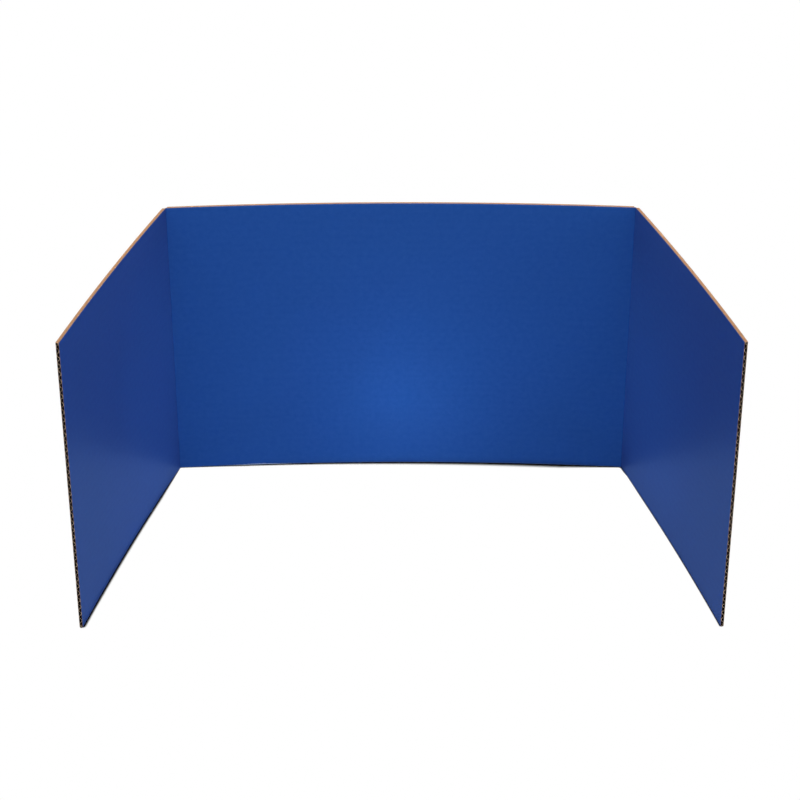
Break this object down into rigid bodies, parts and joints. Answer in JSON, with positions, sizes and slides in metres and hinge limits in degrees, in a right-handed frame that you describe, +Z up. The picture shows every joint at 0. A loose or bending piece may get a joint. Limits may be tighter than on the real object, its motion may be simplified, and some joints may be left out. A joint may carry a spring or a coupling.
{
  "type": "study carrel",
  "caption": "Folding tabletop study carrel of corrugated board: a bowed back panel with a wing on each side, hinged on scored creases, blue inside and kraft outside.",
  "frame": {"origin": "on the floor, below the middle of the outline at rest", "axes": "+Z up, +X along the back panel to the sitter's right, +Y from the sitter towards the back panel"},
  "size_m": [0.6588, 0.3426, 0.325],
  "materials": {
    "blue_liner": "satin",
    "fluting": "matte",
    "kraft_liner": "matte"
  },
  "bodies": {
    "back_panel": {"back_inner_liner": "blue_liner", "back_fluting": "fluting", "back_outer_liner": "kraft_liner", "left_crease_inner_liner": "blue_liner", "left_crease_fluting": "fluting", "left_crease_outer_liner": "kraft_liner", "right_crease_inner_liner": "blue_liner", "right_crease_fluting": "fluting", "right_crease_outer_liner": "kraft_liner"},
    "left_wing": {"left_wing_inner_liner": "blue_liner", "left_wing_fluting": "fluting", "left_wing_outer_liner": "kraft_liner"},
    "right_wing": {"right_wing_inner_liner": "blue_liner", "right_wing_fluting": "fluting", "right_wing_outer_liner": "kraft_liner"}
  },
  "joints": [
    {"name": "left_fold", "type": "hinge", "parent": "back_panel", "child": "left_wing", "pos_m": [-0.255, 0.15513, 0.1625], "axis": [0, 0, 1], "range_deg": [-70, 100.2], "deforming": ["left_crease_inner_liner", "left_crease_fluting", "left_crease_outer_liner"]},
    {"name": "right_fold", "type": "hinge", "parent": "back_panel", "child": "right_wing", "pos_m": [0.255, 0.15513, 0.1625], "axis": [0, 0, -1], "range_deg": [-70, 101.7], "deforming": ["right_crease_inner_liner", "right_crease_fluting", "right_crease_outer_liner"]}
  ]
}
